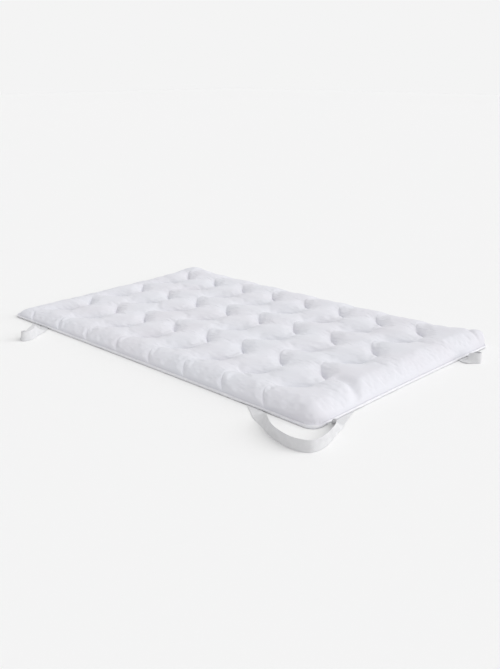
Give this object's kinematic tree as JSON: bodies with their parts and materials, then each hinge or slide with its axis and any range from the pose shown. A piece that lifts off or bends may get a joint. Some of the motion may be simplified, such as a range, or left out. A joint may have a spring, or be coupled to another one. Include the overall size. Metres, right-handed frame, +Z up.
{
  "type": "mattress topper",
  "caption": "Quilted, filled mattress topper with wavy stitched channels, a bound seam all round and an elastic strap looped round each corner.",
  "frame": {"origin": "centre of the flat underside, on the surface the topper lies on", "axes": "+X along the long side, +Y along the short side, +Z up through the pad's thickness"},
  "size_m": [2.0598, 1.443, 0.0705],
  "materials": {
    "cover": "white brushed microfibre with a soft, dry sheen",
    "binding": "white woven tape",
    "elastic": "white woven elastic with fine lengthwise ribs"
  },
  "bodies": {
    "root": {"pad": "cover", "edge_binding": "binding", "corner_strap_front_right": "elastic", "corner_strap_front_left": "elastic", "corner_strap_back_right": "elastic", "corner_strap_back_left": "elastic"}
  },
  "joints": []
}
